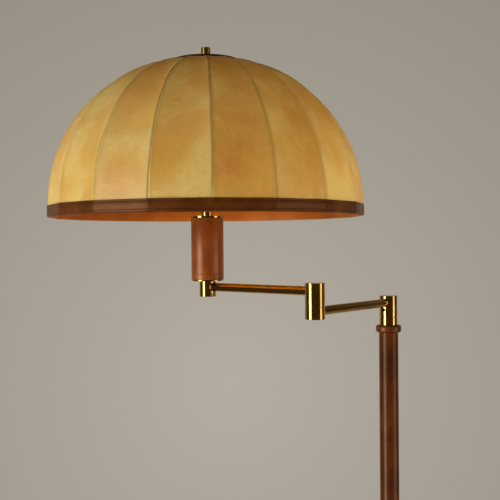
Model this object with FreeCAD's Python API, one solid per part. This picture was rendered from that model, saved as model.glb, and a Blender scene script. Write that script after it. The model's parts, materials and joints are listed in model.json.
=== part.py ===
import FreeCAD, Part
import math
import os

# Swing-arm floor lamp: a round weighted base, a leather-covered column, two brass arms that fold over
# each other, a leather-covered cylinder with a lamp holder on it, and a dome shade of parchment gores.
# Millimetres. +Z is up, the column's axis is x = y = 0 and the floor is z = 0.

V = FreeCAD.Vector
os.makedirs("parts", exist_ok=True)

# Fits
runClear = 0.05          # radial gap of a bore that turns on its post
faceClear = 0.05         # axial gap between two faces that turn against each other
seatClear = 0.03         # radial gap between fixed round pieces, one inside the other

# Base
baseRadius = 145.0
weightThick = 22.0
weightRound = 6.0
feltThick = 2.0
feltInset = 3.0
baseLeather = 1.5
nutPocketRadius = 18.0
nutPocketDepth = 9.0
bushingRadius = 5.0
bushingBore = 3.5
bushingLength = 13.0
bushingFlange = 7.5
bushingFlangeThick = 1.8
cordWayRadius = 4.2

# Threaded stem that holds the column to the base
studRadius = 5.0
studBore = 3.6
studReach = 22.0
washerRadius = 14.0
washerThick = 1.5
nutFlats = 17.0
nutThick = 5.0

# Column
columnRadius = 12.7
columnWall = 1.5
columnLeather = 1.6
columnLength = 1063.0
plugLength = 30.0
collarRadius = 18.9
collarHeight = 11.0
collarRound = 3.2

# Swivel joints
knuckleRadius = 13.3
edgeRound = 0.5
jointRound = 0.35
ferruleHeight = 12.2
headHeight = 31.4
washerGap = 0.5
postRadius = 6.0
postBore = 3.6
postSink = 24.0
chamberRadius = 10.0
headBoreHeight = 14.2
lockWasherThick = 1.0
lockWasherRadius = 8.6
lockNutFlats = 15.0
lockNutThick = 4.5
postProud = 1.2
capThick = 2.2
capRadius = 11.4
grubRadius = 2.0
grubLength = 4.6
grubDrop = 10.6
lowerArmDrop = 10.4
elbowLowerHeight = 16.8
elbowLowerRise = 10.2
elbowUpperHeight = 30.6
elbowBoreHeight = 9.5
elbowPlate = 5.4
upperArmDrop = 10.8

# Arms
armLength = 198.0
armRadius = 6.2
armWall = 1.2
lowerArmAngle = 233.1
upperArmAngle = 139.7

# End knuckle and leather cylinder
endRadius = 12.1
endHeight = 23.2
endArmDrop = 9.1
endChamber = 8.0
endPlate = 5.6
nippleRadius = 5.0
nippleBore = 3.6
nippleProud = 6.0
gripRadius = 23.8
gripLeather = 1.6
gripWall = 1.5
gripLength = 90.6
discInset = 0.4
baseDiscThick = 2.0
topDiscThick = 2.3
stemRadius = 8.1
stemFlare = 0.8            # the stem widens this much on its way up, about 2 degrees
topDiscFlare = 0.12        # and so does the rim of the disc below it
stemLength = 20.0

# Harp and lamp holder
saddleThick = 1.5
saddleWidth = 14.0
harpFoot = 28.0
harpHalfWidth = 56.0
harpHeight = 203.2
harpWire = 1.7
harpPlane = 255.8
pinLength = 10.0
sleeveWall = 1.4
sleeveLength = 19.0
bossRadius = 4.8
bossHeight = 8.0
harpStudRadius = 3.1
harpStudReach = 9.0
holderRadius = 17.5
holderCapHeight = 14.0
holderLap = 3.0
holderShellHeight = 38.0
holderWall = 0.8
linerWall = 1.0
holderBaseThick = 11.0
screwWall = 0.5
bulbCapRadius = 13.0
bulbCapHeight = 26.0
bulbNeck = 13.6
bulbRadius = 30.0
bulbLength = 86.0

# Shade
gores = 18
shadeRadius = 228.6
domeHeight = 213.7
domeWide = 2.285
domeTall = 1.935
firstRib = 276.1
goreSag = 5.0
panelThick = 0.9
seamGap = 0.5
panelTopRadius = 20.0
plateRadius = 36.0
plateThick = 1.5
plateGap = 0.3
plateBoss = 12.0
ribWidth = 2.5
ribDepth = 3.0
ribGap = 0.1
bandHeight = 16.8
bandLeather = 1.5
panelTuck = 13.0
ringHeight = 4.0
shadeCapRadius = 51.0
shadeCapEdge = 2.6
shadeCapCrown = 3.6
shadeCapGap = 0.2
finialRadius = 7.0
finialHeight = 15.7


def polar(radius, degrees, z=0.0):
    a = math.radians(degrees)
    return V(radius * math.cos(a), radius * math.sin(a), z)


# Heights, each seated on the piece below it
weightLow = feltThick
weightTop = weightLow + weightThick
baseTop = weightTop + baseLeather
columnTop = weightTop + columnLength
ferruleTop = columnTop + ferruleHeight
headLow = ferruleTop + washerGap + faceClear
headTop = headLow + headHeight
lowerArmZ = headTop - lowerArmDrop
elbowLow = lowerArmZ - elbowLowerRise
elbowJoin = elbowLow + elbowLowerHeight
elbowUp = elbowJoin + washerGap + faceClear
elbowTop = elbowUp + elbowUpperHeight
upperArmZ = elbowTop - upperArmDrop
endTop = upperArmZ + endArmDrop
endLow = endTop - endHeight
gripLow = endTop + baseDiscThick
gripTop = gripLow + gripLength
stemLow = gripTop + topDiscThick
stemTop = stemLow + stemLength
saddleTop = stemTop + saddleThick

# Axes in plan
elbowAt = polar(armLength, lowerArmAngle)
endAt = elbowAt + polar(armLength, upperArmAngle)
origin = V(0, 0, 0)


def rise(radius):
    # Height of the dome's outer surface above the band's top, at a distance from its axis
    return domeHeight * (1 - (radius / shadeRadius) ** domeWide) ** (1 / domeTall)


plateLow = saddleTop + harpHeight
bandTop = plateLow + plateThick + plateGap + panelThick - rise(plateRadius)
bandLow = bandTop - bandHeight
apex = bandTop + domeHeight
crownTop = apex + shadeCapCrown
finialTop = crownTop + finialHeight


def save(name, shape):
    shape.exportStep("parts/" + name + ".step")


def rod(radius, low, high, at=origin):
    return Part.makeCylinder(radius, high - low, V(at.x, at.y, low))


def tube(outer, inner, low, high, at=origin):
    return rod(outer, low, high, at).cut(rod(inner, low - 1, high + 1, at))


def radial(radius, near, far, degrees, z, at=origin):
    # A cylinder along a horizontal direction, between two distances from an axis
    start = V(at.x, at.y, 0) + polar(near, degrees, z)
    return Part.makeCylinder(radius, far - near, start, polar(1, degrees))


def hexNut(flats, bore, low, high, at=origin):
    corner = flats / math.sqrt(3)
    points = [polar(corner, 60 * k, low) + V(at.x, at.y, 0) for k in range(7)]
    body = Part.Face(Part.makePolygon(points)).extrude(V(0, 0, high - low))
    return body.cut(rod(bore, low - 1, high + 1, at))


def softened(shape, size, heights):
    # Rounds the outermost circular edges that lie at the given heights
    chosen = []
    widest = max(e.Curve.Radius for e in shape.Edges if isinstance(e.Curve, Part.Circle))
    for edge in shape.Edges:
        if isinstance(edge.Curve, Part.Circle) and abs(edge.Curve.Radius - widest) < 1e-6:
            if any(abs(edge.Curve.Center.z - z) < 1e-6 for z in heights):
                chosen.append(edge)
    return shape.makeFillet(size, chosen)


def profileFace(edges):
    # A planar face inside a closed run of edges, given in order
    return Part.Face(Part.Wire(edges))


def line(a, b):
    return Part.LineSegment(a, b).toShape()


def bow(a, b, c):
    return Part.Arc(a, b, c).toShape()


# Base: felt, iron disc, leather skin, cord bushing and the stem with its washer and nut
weightRadius = baseRadius - baseLeather
bushingZ = weightLow + weightThick / 2


def baseWeight():
    disc = softened(rod(weightRadius, weightLow, weightTop), weightRound, [weightTop])
    disc = disc.cut(rod(studRadius + seatClear, weightLow - 1, weightTop + 1))
    disc = disc.cut(rod(nutPocketRadius, weightLow - 1, weightLow + nutPocketDepth))
    seat = baseRadius - bushingLength
    disc = disc.cut(radial(bushingRadius + seatClear, seat, baseRadius + 5, 90, bushingZ))
    return disc.cut(radial(cordWayRadius, studRadius, baseRadius, 90, bushingZ))


def baseSkin():
    skin = softened(rod(baseRadius, weightLow, baseTop), weightRound + baseLeather, [baseTop])
    core = softened(rod(weightRadius, weightLow - 1, weightTop), weightRound, [weightTop])
    skin = skin.cut(core).cut(rod(columnRadius + seatClear, weightLow, baseTop + 1))
    return skin.cut(radial(bushingRadius + seatClear, 0, baseRadius + 5, 90, bushingZ))


def cordBushing():
    seat = baseRadius - bushingLength
    body = radial(bushingRadius, seat, baseRadius + bushingFlangeThick, 90, bushingZ)
    flange = radial(bushingFlange, baseRadius - 1.0, baseRadius + bushingFlangeThick, 90, bushingZ)
    flange = flange.cut(rod(baseRadius + seatClear, weightLow - 5, baseTop + 5))
    body = body.fuse(flange).removeSplitter()
    return body.cut(radial(bushingBore, 0, baseRadius + 10, 90, bushingZ))


pocketTop = weightLow + nutPocketDepth
washerLow = pocketTop - washerThick
nutLow = washerLow - nutThick
save("felt_pad", rod(weightRadius - feltInset, 0, feltThick))
save("base_weight", baseWeight())
save("base_leather", baseSkin())
save("cord_bushing", cordBushing())
save("base_stud", tube(studRadius, studBore, nutLow - 0.5, weightTop + studReach))
save("base_washer", tube(washerRadius, studRadius + seatClear, washerLow, pocketTop))
save("base_nut", hexNut(nutFlats, studRadius + seatClear, nutLow, washerLow))

# Column: steel tube in a leather sleeve, with a plug and a leather collar at each end
tubeBore = columnRadius - columnWall
leatherRadius = columnRadius + columnLeather
collarBore = leatherRadius + seatClear


def collar(low):
    ring = softened(rod(collarRadius, low, low + collarHeight), collarRound, [low, low + collarHeight])
    return ring.cut(rod(collarBore, low - 1, low + collarHeight + 1))


save("column_tube", tube(columnRadius, tubeBore, weightTop, columnTop))
save("column_leather", tube(leatherRadius, columnRadius + seatClear, baseTop, columnTop))
save("foot_plug", tube(tubeBore - seatClear, studRadius + seatClear, weightTop, weightTop + plugLength))
save("top_plug", tube(tubeBore - seatClear, postRadius + seatClear, columnTop - plugLength, columnTop))
save("foot_collar", collar(baseTop))
save("top_collar", collar(columnTop - collarHeight))

# Swivel on the column
headChamber = headLow + headBoreHeight
headLockLow = headChamber + faceClear
headNutLow = headLockLow + lockWasherThick
headPostTop = headNutLow + lockNutThick + postProud
grubZ = lowerArmZ - grubDrop


def knuckle(low, high, boreTop, at, degrees, armZ):
    # A brass cylinder that turns on a post, with a chamber, a recessed cap and one arm in its side
    body = softened(rod(knuckleRadius, low, high, at), edgeRound, [high])
    body = softened(body, jointRound, [low])
    body = body.cut(rod(postRadius + runClear, low - 1, boreTop + 1, at))
    body = body.cut(rod(chamberRadius, boreTop, high + 1, at))
    body = body.cut(rod(capRadius + seatClear, high - capThick, high + 1, at))
    return body.cut(radial(armRadius + seatClear, postRadius + 1, knuckleRadius + 5, degrees, armZ, at))


def headKnuckle():
    body = knuckle(headLow, headTop, headChamber, origin, lowerArmAngle, lowerArmZ)
    return body.cut(radial(grubRadius + seatClear, 0, knuckleRadius + 5, lowerArmAngle, grubZ))


def grub():
    near = postRadius + 2 * runClear
    body = radial(grubRadius, near, near + grubLength, lowerArmAngle, grubZ)
    return body.cut(radial(grubRadius / 2, near + grubLength / 2, near + 20, lowerArmAngle, grubZ))


ferrule = softened(rod(knuckleRadius, columnTop, ferruleTop), edgeRound, [columnTop])
ferrule = softened(ferrule, jointRound, [ferruleTop])
save("head_ferrule", ferrule.cut(rod(postRadius + seatClear, columnTop - 1, ferruleTop + 1)))
save("head_post", tube(postRadius, postBore, columnTop - postSink, headPostTop))
save("head_washer", tube(knuckleRadius - 1.0, postRadius + seatClear, ferruleTop, ferruleTop + washerGap))
save("head_lock_washer", tube(lockWasherRadius, postRadius + seatClear, headLockLow, headNutLow))
save("head_nut", hexNut(lockNutFlats, postRadius + seatClear, headNutLow, headNutLow + lockNutThick))
save("head_knuckle", headKnuckle())
save("head_grub", grub())
save("head_cap", rod(capRadius, headTop - capThick, headTop))


# Lower arm and the elbow's lower half
def elbowLowerKnuckle():
    back = lowerArmAngle + 180
    body = softened(rod(knuckleRadius, elbowLow, elbowJoin, elbowAt), edgeRound, [elbowLow])
    body = softened(body, jointRound, [elbowJoin])
    body = body.cut(rod(postRadius + seatClear, elbowLow - 1, elbowJoin + 1, elbowAt))
    body = body.cut(rod(chamberRadius, elbowLow - 1, elbowJoin - elbowPlate, elbowAt))
    body = body.cut(rod(capRadius + seatClear, elbowLow - 1, elbowLow + capThick, elbowAt))
    return body.cut(radial(armRadius + seatClear, postRadius + 1, knuckleRadius + 5, back, lowerArmZ, elbowAt))


elbowChamber = elbowUp + elbowBoreHeight
elbowLockLow = elbowChamber + faceClear
elbowNutLow = elbowLockLow + lockWasherThick
elbowPostTop = elbowNutLow + lockNutThick + postProud
armNear = chamberRadius + 0.3


def arm(far, degrees, z, at):
    outer = radial(armRadius, armNear, far, degrees, z, at)
    return outer.cut(radial(armRadius - armWall, armNear - 1, far + 1, degrees, z, at))


save("lower_arm", arm(armLength - armNear, lowerArmAngle, lowerArmZ, origin))
save("elbow_lower_knuckle", elbowLowerKnuckle())
save("elbow_bottom_cap", rod(capRadius, elbowLow, elbowLow + capThick, elbowAt))
save("elbow_post", tube(postRadius, postBore, elbowJoin - elbowPlate, elbowPostTop, elbowAt))
ringOuter = knuckleRadius - 1.0
ringInner = postRadius + seatClear
save("elbow_washer", tube(ringOuter, ringInner, elbowJoin, elbowJoin + washerGap, elbowAt))
save("elbow_lock_washer", tube(lockWasherRadius, ringInner, elbowLockLow, elbowNutLow, elbowAt))
save("elbow_nut", hexNut(lockNutFlats, ringInner, elbowNutLow, elbowNutLow + lockNutThick, elbowAt))

# Upper arm, end knuckle and leather cylinder
backAngle = upperArmAngle + 180


def endKnuckle():
    body = softened(rod(endRadius, endLow, endTop, endAt), edgeRound, [endLow])
    body = body.cut(rod(endChamber, endLow - 1, endTop - endPlate, endAt))
    body = body.cut(rod(nippleRadius + seatClear, endLow, endTop + 1, endAt))
    return body.cut(radial(armRadius + seatClear, nippleRadius + 1, endRadius + 5, backAngle, upperArmZ, endAt))


def disc(low, high):
    plate = softened(rod(gripRadius - discInset, low, high, endAt), edgeRound, [low, high])
    return plate.cut(rod(nippleRadius + seatClear, low - 1, high + 1, endAt))


def flared(radius, flare, low, high):
    # A turned piece that is narrower by the flare at its foot
    body = Part.makeCone(radius, radius + flare, high - low, V(endAt.x, endAt.y, low))
    return body.cut(rod(nippleRadius + seatClear, low - 1, high + 1, endAt))


upper = knuckle(elbowUp, elbowTop, elbowChamber, elbowAt, upperArmAngle, upperArmZ)
coreRadius = gripRadius - gripLeather
save("elbow_upper_knuckle", upper)
save("elbow_top_cap", rod(capRadius, elbowTop - capThick, elbowTop, elbowAt))
save("upper_arm", arm(armLength - endChamber - 0.3, upperArmAngle, upperArmZ, elbowAt))
save("end_knuckle", endKnuckle())
save("end_cap", rod(endChamber - seatClear, endLow, endLow + capThick, endAt))
nippleLow = endTop - endPlate
save("stem_nipple", tube(nippleRadius, nippleBore, nippleLow, saddleTop + nippleProud, endAt))
save("grip_base_disc", disc(endTop, gripLow))
save("grip_core", tube(coreRadius, coreRadius - gripWall, gripLow, gripTop, endAt))
save("grip_leather", tube(gripRadius, coreRadius + seatClear, gripLow, gripTop, endAt))
save("grip_top_disc", flared(gripRadius - discInset - topDiscFlare, topDiscFlare, gripTop, stemLow))
save("stem_tube", flared(stemRadius, stemFlare, stemLow, stemTop))

# Harp
harpDirection = polar(1, harpPlane)


def harpPoint(u, z):
    return V(endAt.x, endAt.y, z) + harpDirection * u


def roundedPath(points):
    # Straight runs joined by tangent arcs, each as large as its two runs allow
    edges = []
    start = points[0]
    for k in range(1, len(points) - 1):
        before = points[k - 1] - points[k]
        after = points[k + 1] - points[k]
        shorter = min(before.Length, after.Length) * 0.45
        half = before.getAngle(after) / 2
        a = points[k] + before.normalize() * shorter
        b = points[k] + after.normalize() * shorter
        radius = shorter * math.tan(half)
        centreWay = (before + after).normalize()
        top = points[k] + centreWay * (radius / math.sin(half) - radius)
        edges.append(line(start, a))
        edges.append(bow(a, top, b))
        start = b
    edges.append(line(start, points[-1]))
    return Part.Wire(edges)


wireLow = saddleTop + pinLength
wireTop = plateLow - bossHeight / 2
widest = saddleTop + harpHeight * 0.45


def harpHalf(side):
    points = [harpPoint(side * harpFoot, wireLow)]
    points.append(harpPoint(side * harpFoot, wireLow + harpHeight * 0.1))
    points.append(harpPoint(side * harpHalfWidth, widest - harpHeight * 0.12))
    points.append(harpPoint(side * harpHalfWidth, widest + harpHeight * 0.16))
    points.append(harpPoint(side * harpHalfWidth * 0.45, wireTop))
    points.append(harpPoint(0, wireTop))
    path = roundedPath(points)
    ring = Part.Wire(Part.makeCircle(harpWire, points[0], V(0, 0, 1)))
    return path.makePipeShell([ring], True, False)


def saddle():
    half = harpFoot + sleeveWall + harpWire + 1
    strap = Part.makeBox(2 * half, saddleWidth, saddleThick, V(-half, -saddleWidth / 2, stemTop))
    strap = strap.common(rod(half, stemTop - 1, saddleTop + 1))
    strap.rotate(origin, V(0, 0, 1), harpPlane)
    strap.translate(V(endAt.x, endAt.y, 0))
    for side in (-1, 1):
        foot = harpPoint(side * harpFoot, 0)
        strap = strap.fuse(rod(harpWire, saddleTop - 0.5, wireLow, foot))
    return strap.cut(rod(nippleRadius + seatClear, stemTop - 1, saddleTop + 1, endAt)).removeSplitter()


def sleeves():
    bore = harpWire + seatClear
    both = [tube(bore + sleeveWall, bore, saddleTop, saddleTop + sleeveLength, harpPoint(s * harpFoot, 0))
            for s in (-1, 1)]
    return Part.makeCompound(both)


def harp():
    boss = rod(bossRadius, plateLow - bossHeight, plateLow, endAt)
    body = boss.fuse([harpHalf(-1), harpHalf(1)])
    return body.cut(rod(harpStudRadius + seatClear, plateLow - bossHeight - 1, plateLow + 1, endAt))


save("harp_saddle", saddle())
save("harp_sleeves", sleeves())
save("harp", harp())
save("harp_stud", rod(harpStudRadius, plateLow - bossHeight, crownTop + harpStudReach, endAt))

# Lamp holder and bulb
shellRadius = holderRadius - holderWall - seatClear
linerRadius = shellRadius - holderWall - seatClear
screwRadius = bulbCapRadius + 3 * seatClear + screwWall
holderLow = saddleTop
shellLow = holderLow + holderCapHeight - holderLap
shellTop = shellLow + holderShellHeight
baseLow = shellLow + 1.0
screwLow = baseLow + holderBaseThick
bulbLow = screwLow + 1.0
glassLow = bulbLow + bulbCapHeight


def holderCap():
    inner = holderRadius - holderWall
    shape = softened(rod(holderRadius, holderLow, holderLow + holderCapHeight, endAt), 5.0, [holderLow])
    bowl = rod(inner, holderLow + holderWall, holderLow + holderCapHeight + 1, endAt)
    bowl = softened(bowl, 5.0 - holderWall, [holderLow + holderWall])
    return shape.cut(bowl).cut(rod(nippleRadius + seatClear, holderLow - 1, holderLow + 5, endAt))


def holderBase():
    radius = linerRadius - linerWall - seatClear
    body = rod(radius, baseLow, screwLow, endAt)
    body = body.cut(rod(nippleRadius + seatClear, baseLow - 1, baseLow + 3, endAt))
    return body.fuse(rod(3.0, screwLow, bulbLow, endAt))


def bulbGlass():
    # Neck, swelling shoulder and round top, as one closed outline turned about the bulb's axis
    top = glassLow + bulbLength
    middle = top - bulbRadius
    neckTop = glassLow + bulbLength * 0.2
    shoulder = V(bulbRadius * 0.78, 0, middle - bulbRadius * 0.6257)
    half = V((bulbNeck + shoulder.x) / 2 + 0.8, 0, (neckTop + shoulder.z) / 2 - 3.0)
    edges = [line(V(0, 0, glassLow), V(bulbNeck, 0, glassLow))]
    edges.append(line(V(bulbNeck, 0, glassLow), V(bulbNeck, 0, neckTop)))
    edges.append(bow(V(bulbNeck, 0, neckTop), half, shoulder))
    waist = V(bulbRadius, 0, middle)
    tilt = math.radians(45)
    high = V(bulbRadius * math.cos(tilt), 0, middle + bulbRadius * math.sin(tilt))
    low = V(bulbRadius * math.cos(tilt / 2), 0, middle - bulbRadius * math.sin(tilt / 2))
    edges.append(bow(shoulder, low, waist))
    edges.append(bow(waist, high, V(0, 0, top)))
    edges.append(line(V(0, 0, top), V(0, 0, glassLow)))
    solid = profileFace(edges).revolve(origin, V(0, 0, 1), 360)
    solid.translate(V(endAt.x, endAt.y, 0))
    return solid


save("socket_cap", holderCap())
save("socket_shell", tube(shellRadius, shellRadius - holderWall, shellLow, shellTop, endAt))
save("socket_liner", tube(linerRadius, linerRadius - linerWall, shellLow, shellTop + 1.0, endAt))
save("socket_base", holderBase())
save("socket_screw", tube(screwRadius, screwRadius - screwWall, screwLow, shellTop - 1.0, endAt))
save("bulb_cap", rod(bulbCapRadius, bulbLow, glassLow, endAt))
save("bulb_glass", bulbGlass())

# Shade
halfGore = 180.0 / gores
flat = math.cos(math.radians(halfGore))
bandClear = 0.05
chordHalf = shadeRadius * math.sin(math.radians(halfGore))
ribFall = ribWidth / 2 * (math.tan(math.radians(halfGore)) + 2 * goreSag / chordHalf)
ribSet = panelThick / flat + ribFall + ribGap


def meridian(share):
    # Point and outward normal of the rib line; share runs from 0 at the band to 1 at the panels' top
    limit = math.asin((rise(panelTopRadius) / domeHeight) ** (domeTall / 2))
    a = limit * share
    radius = shadeRadius * math.cos(a) ** (2 / domeWide)
    height = domeHeight * math.sin(a) ** (2 / domeTall)
    outward = (radius / shadeRadius) ** (domeWide - 1) * domeWide / shadeRadius
    upward = 0.0
    if height > 0:
        upward = (height / domeHeight) ** (domeTall - 1) * domeTall / domeHeight
    size = math.hypot(outward, upward)
    return radius, height + bandTop, outward / size, upward / size


def goreSection(radius, z, nr, nz, sag):
    # One cross-section of a gore that is centred on +X: bowed inwards between its two ribs
    side = radius * math.sin(math.radians(halfGore)) - seamGap / 2
    out = radius * flat
    normal = V(nr, 0, nz)
    left = V(out, -side, z)
    right = V(out, side, z)
    middle = V(out, 0, z) - normal * sag
    inner = normal * panelThick
    edges = [bow(left, middle, right), line(right, right - inner)]
    edges.append(bow(right - inner, middle - inner, left - inner))
    edges.append(line(left - inner, left))
    return Part.Wire(edges)


def gore():
    low = bandTop - panelTuck
    skirt = [goreSection(shadeRadius, z, 1, 0, 0.02) for z in (low, bandTop)]
    sections = []
    steps = 12
    for k in range(steps + 1):
        share = k / steps
        radius, z, nr, nz = meridian(share)
        sag = 0.02 + goreSag * math.sin(math.pi * share) ** 0.8 * radius / shadeRadius
        sections.append(goreSection(radius, z, nr, nz, sag))
    return Part.makeLoft(sections, True, False).fuse(Part.makeLoft(skirt, True, True))


def placed(shape, degrees):
    copy = shape.copy()
    copy.rotate(origin, V(0, 0, 1), degrees)
    copy.translate(V(endAt.x, endAt.y, 0))
    return copy


step = 360.0 / gores
oneGore = gore()
save("shade_panels", Part.makeCompound([placed(oneGore, firstRib + step * (k + 0.5)) for k in range(gores)]))
ringTop = bandLow + bandLeather + bandClear + ringHeight


def ribCurve(depth):
    # The rib line set inwards by a depth, as points from its foot to the plate's rim
    points = []
    for k in range(25):
        radius, z, nr, nz = meridian(k / 24)
        points.append(V(radius - nr * depth, 0, z - nz * depth))
    curve = Part.BSplineCurve()
    curve.interpolate(points)
    return curve.toShape(), points[0], points[-1]


def rib():
    outer, outerLow, outerEnd = ribCurve(ribSet)
    inner, innerLow, innerEnd = ribCurve(ribSet + ribDepth)
    footOut = V(outerLow.x, 0, ringTop)
    footIn = V(innerLow.x, 0, ringTop)
    edges = [outer, line(outerEnd, innerEnd), inner, line(innerLow, footIn)]
    edges += [line(footIn, footOut), line(footOut, outerLow)]
    solid = profileFace(edges).extrude(V(0, ribWidth, 0))
    solid.translate(V(0, -ribWidth / 2, 0))
    return solid.cut(rod(plateRadius + seatClear, plateLow - 20, apex + 1))


oneRib = rib()
save("shade_ribs", Part.makeCompound([placed(oneRib, firstRib + step * k) for k in range(gores)]))


def polygonRing(outer, inner, low, high):
    # A ring whose outline has one corner at each rib; sizes are corner distances
    shapes = []
    for radius in (outer, inner):
        points = [polar(radius, firstRib + step * k, low) for k in range(gores + 1)]
        shapes.append(Part.Face(Part.makePolygon(points)).extrude(V(0, 0, high - low)))
    ring = shapes[0].cut(shapes[1])
    ring.translate(V(endAt.x, endAt.y, 0))
    return ring


bandOuter = shadeRadius + (bandLeather + bandClear) / flat
slotInner = shadeRadius - (ribSet + ribDepth + bandClear) / flat
bandInner = slotInner - bandLeather / flat
ringOuter = shadeRadius - (panelThick + bandClear) / flat
ringInner = slotInner + bandClear / flat


def band():
    whole = polygonRing(bandOuter, bandInner, bandLow, bandTop)
    return whole.cut(polygonRing(shadeRadius + bandClear / flat, slotInner, bandLow + bandLeather, bandTop + 1))


def topPlate():
    plate = rod(plateRadius, plateLow, plateLow + plateThick, endAt)
    plate = plate.fuse(rod(plateBoss, plateLow, apex + shadeCapGap, endAt)).removeSplitter()
    return plate.cut(rod(harpStudRadius + seatClear, plateLow - 1, apex + 5, endAt))


def shadeCap():
    hole = harpStudRadius + seatClear
    flatTop = finialRadius + 1.0
    low = [V(r, 0, bandTop + rise(r) + shadeCapGap) for r in (plateBoss, plateRadius, shadeCapRadius)]
    edge = low[2] + V(0, 0, shadeCapEdge)
    bulge = (V(flatTop, 0, crownTop) + edge) * 0.5 + V(0, 0, 0.6)
    edges = [line(V(hole, 0, apex + shadeCapGap), V(plateBoss, 0, apex + shadeCapGap))]
    edges.append(line(V(plateBoss, 0, apex + shadeCapGap), low[0]))
    edges.append(bow(low[0], low[1], low[2]))
    edges.append(line(low[2], edge))
    edges.append(bow(edge, bulge, V(flatTop, 0, crownTop)))
    edges.append(line(V(flatTop, 0, crownTop), V(hole, 0, crownTop)))
    edges.append(line(V(hole, 0, crownTop), V(hole, 0, apex + shadeCapGap)))
    solid = profileFace(edges).revolve(origin, V(0, 0, 1), 360)
    solid.translate(V(endAt.x, endAt.y, 0))
    return solid


def finial():
    body = softened(rod(finialRadius, crownTop, finialTop, endAt), 0.8, [crownTop, finialTop])
    return body.cut(rod(harpStudRadius + seatClear, crownTop - 1, crownTop + harpStudReach + 1, endAt))


save("shade_bottom_ring", polygonRing(ringOuter, ringInner, bandLow + bandLeather + bandClear, ringTop))
save("shade_band", band())
save("shade_top_plate", topPlate())
save("shade_cap", shadeCap())
save("finial", finial())

print("elbow axis", round(elbowAt.x, 3), round(elbowAt.y, 3))
print("light axis", round(endAt.x, 3), round(endAt.y, 3))
print("head", round(headLow, 2), round(headTop, 2), "elbow", round(elbowLow, 2), round(elbowTop, 2))
print("end", round(endLow, 2), round(endTop, 2), "band", round(bandLow, 2), round(bandTop, 2))
print("apex", round(apex, 2), "top", round(finialTop, 2), "gore volume", round(oneGore.Volume, 1))
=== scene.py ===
import bmesh
import bpy
import json
import math
from mathutils import Matrix, Vector


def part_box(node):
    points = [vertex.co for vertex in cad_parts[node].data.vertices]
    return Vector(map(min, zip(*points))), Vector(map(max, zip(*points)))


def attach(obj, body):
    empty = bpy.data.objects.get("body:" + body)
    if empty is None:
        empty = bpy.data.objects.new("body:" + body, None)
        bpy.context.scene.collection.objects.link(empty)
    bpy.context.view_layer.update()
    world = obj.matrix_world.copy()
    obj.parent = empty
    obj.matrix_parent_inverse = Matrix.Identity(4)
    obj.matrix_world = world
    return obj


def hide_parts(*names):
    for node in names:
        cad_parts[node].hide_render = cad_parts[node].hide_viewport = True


# Swing-arm floor lamp: parchment dome, leather-covered column, cylinder and base, polished brass arms.
# The pieces' sizes are millimetres, with the column's axis at x = y = 0 and the floor at z = 0; those of the
# camera, the lamps and the floor are metres.

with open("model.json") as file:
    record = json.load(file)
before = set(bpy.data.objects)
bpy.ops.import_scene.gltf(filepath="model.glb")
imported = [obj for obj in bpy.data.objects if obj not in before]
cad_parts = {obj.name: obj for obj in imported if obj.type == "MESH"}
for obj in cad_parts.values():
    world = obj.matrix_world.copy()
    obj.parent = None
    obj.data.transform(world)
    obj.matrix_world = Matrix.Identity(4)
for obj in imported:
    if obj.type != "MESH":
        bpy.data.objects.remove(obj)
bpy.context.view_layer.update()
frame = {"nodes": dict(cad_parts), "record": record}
nodes = frame["nodes"]
print("frame loaded:", len(nodes), "nodes")


def boxOf(node):
    low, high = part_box(node)
    return low * 1000, high * 1000  # metres to millimetres


def axisOf(node):
    low, high = boxOf(node)
    return Vector(((low.x + high.x) / 2, (low.y + high.y) / 2, 0))


lightAxis = axisOf("finial")
columnAxis = Vector((0, 0, 0))


def linear(text):
    # sRGB hex to the linear RGBA that the sockets take
    values = [int(text[k:k + 2], 16) / 255 for k in (0, 2, 4)]
    return tuple(v / 12.92 if v <= 0.04045 else ((v + 0.055) / 1.055) ** 2.4 for v in values) + (1.0,)


def perMetre(size):
    # Texture scale that gives features of about this many millimetres
    return 1000.0 / size


def addNode(tree, kind, sockets=None, **settings):
    # Adds one node, sets its options, and sets or links its sockets
    node = tree.nodes.new(kind)
    for name, value in settings.items():
        setattr(node, name, value)
    for name, value in (sockets or {}).items():
        if isinstance(value, bpy.types.NodeSocket):
            tree.links.new(value, node.inputs[name])
        else:
            node.inputs[name].default_value = value
    return node


def startMaterial(name):
    # An empty node tree with its output, and the object coordinates that patterns follow
    material = bpy.data.materials.new(name)
    material.use_nodes = True
    tree = material.node_tree
    tree.nodes.clear()
    output = addNode(tree, "ShaderNodeOutputMaterial")
    place = addNode(tree, "ShaderNodeTexCoord").outputs["Object"]
    return material, tree, output, place


def ramp(tree, factor, stops):
    # Colour ramp with (position, hex) stops
    node = addNode(tree, "ShaderNodeValToRGB", {"Fac": factor})
    elements = node.color_ramp.elements
    while len(elements) < len(stops):
        elements.new(0.5)
    for element, (position, text) in zip(elements, stops):
        element.position = position
        element.color = linear(text)
    return node.outputs["Color"]


def roughFrom(tree, noise, low, high):
    # Roughness between two values, by the middle of a noise's range
    return addNode(tree, "ShaderNodeMapRange", {"Value": noise.outputs["Fac"], "From Min": 0.3,
                   "From Max": 0.7, "To Min": low, "To Max": high}).outputs[0]


# Camera: fitted to the shade's rim and seams, the knuckles and the column
cameraView = {"place": (-0.1774, -1.2503, 1.2113), "yaw": 1.392, "pitch": -0.456, "roll": -0.478,
              "focalPixels": 827.5, "imagePixels": 500, "sensor": 36}


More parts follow.
